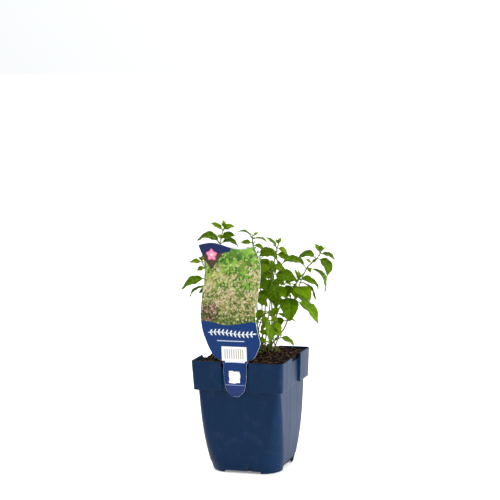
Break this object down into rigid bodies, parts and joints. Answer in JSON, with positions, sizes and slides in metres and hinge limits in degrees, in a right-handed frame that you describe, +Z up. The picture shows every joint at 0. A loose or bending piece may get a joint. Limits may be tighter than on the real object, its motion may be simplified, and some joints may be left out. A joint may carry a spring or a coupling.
{
  "type": "potted lesser calamint",
  "caption": "Young aromatic garden perennial with egg-shaped toothed leaves on square stems, in a square nursery pot of soil with a hanging plastic label.",
  "frame": {"origin": "centre of the pot's base, on the face that it stands on", "axes": "+Z up, -Y towards the side that carries the label, +X to the right of that side"},
  "size_m": [0.1641, 0.1289, 0.2885],
  "materials": {
    "pot": "injection moulded polypropylene, dark blue, satin gloss",
    "soil": "moist peat with bark and fibres",
    "label": "printed and varnished plastic sheet",
    "foliage": "soft matt green leaves and stems with fine hairs"
  },
  "bodies": {
    "root": {"pot": "pot", "potting_soil": "soil", "plant_label": "label", "shoot_far_right": "foliage", "shoot_right": "foliage", "shoot_front_middle": "foliage", "shoot_top_right": "foliage", "shoot_top_middle": "foliage", "shoot_centre": "foliage", "shoot_left_top": "foliage", "shoot_left": "foliage", "shoot_left_low": "foliage", "shoot_low_front": "foliage", "shoot_low_fork": "foliage", "shoot_low_right": "foliage", "shoot_crown": "foliage", "shoot_front_left": "foliage", "shoot_back_left": "foliage", "shoot_back": "foliage", "shoot_back_right": "foliage"}
  },
  "joints": []
}
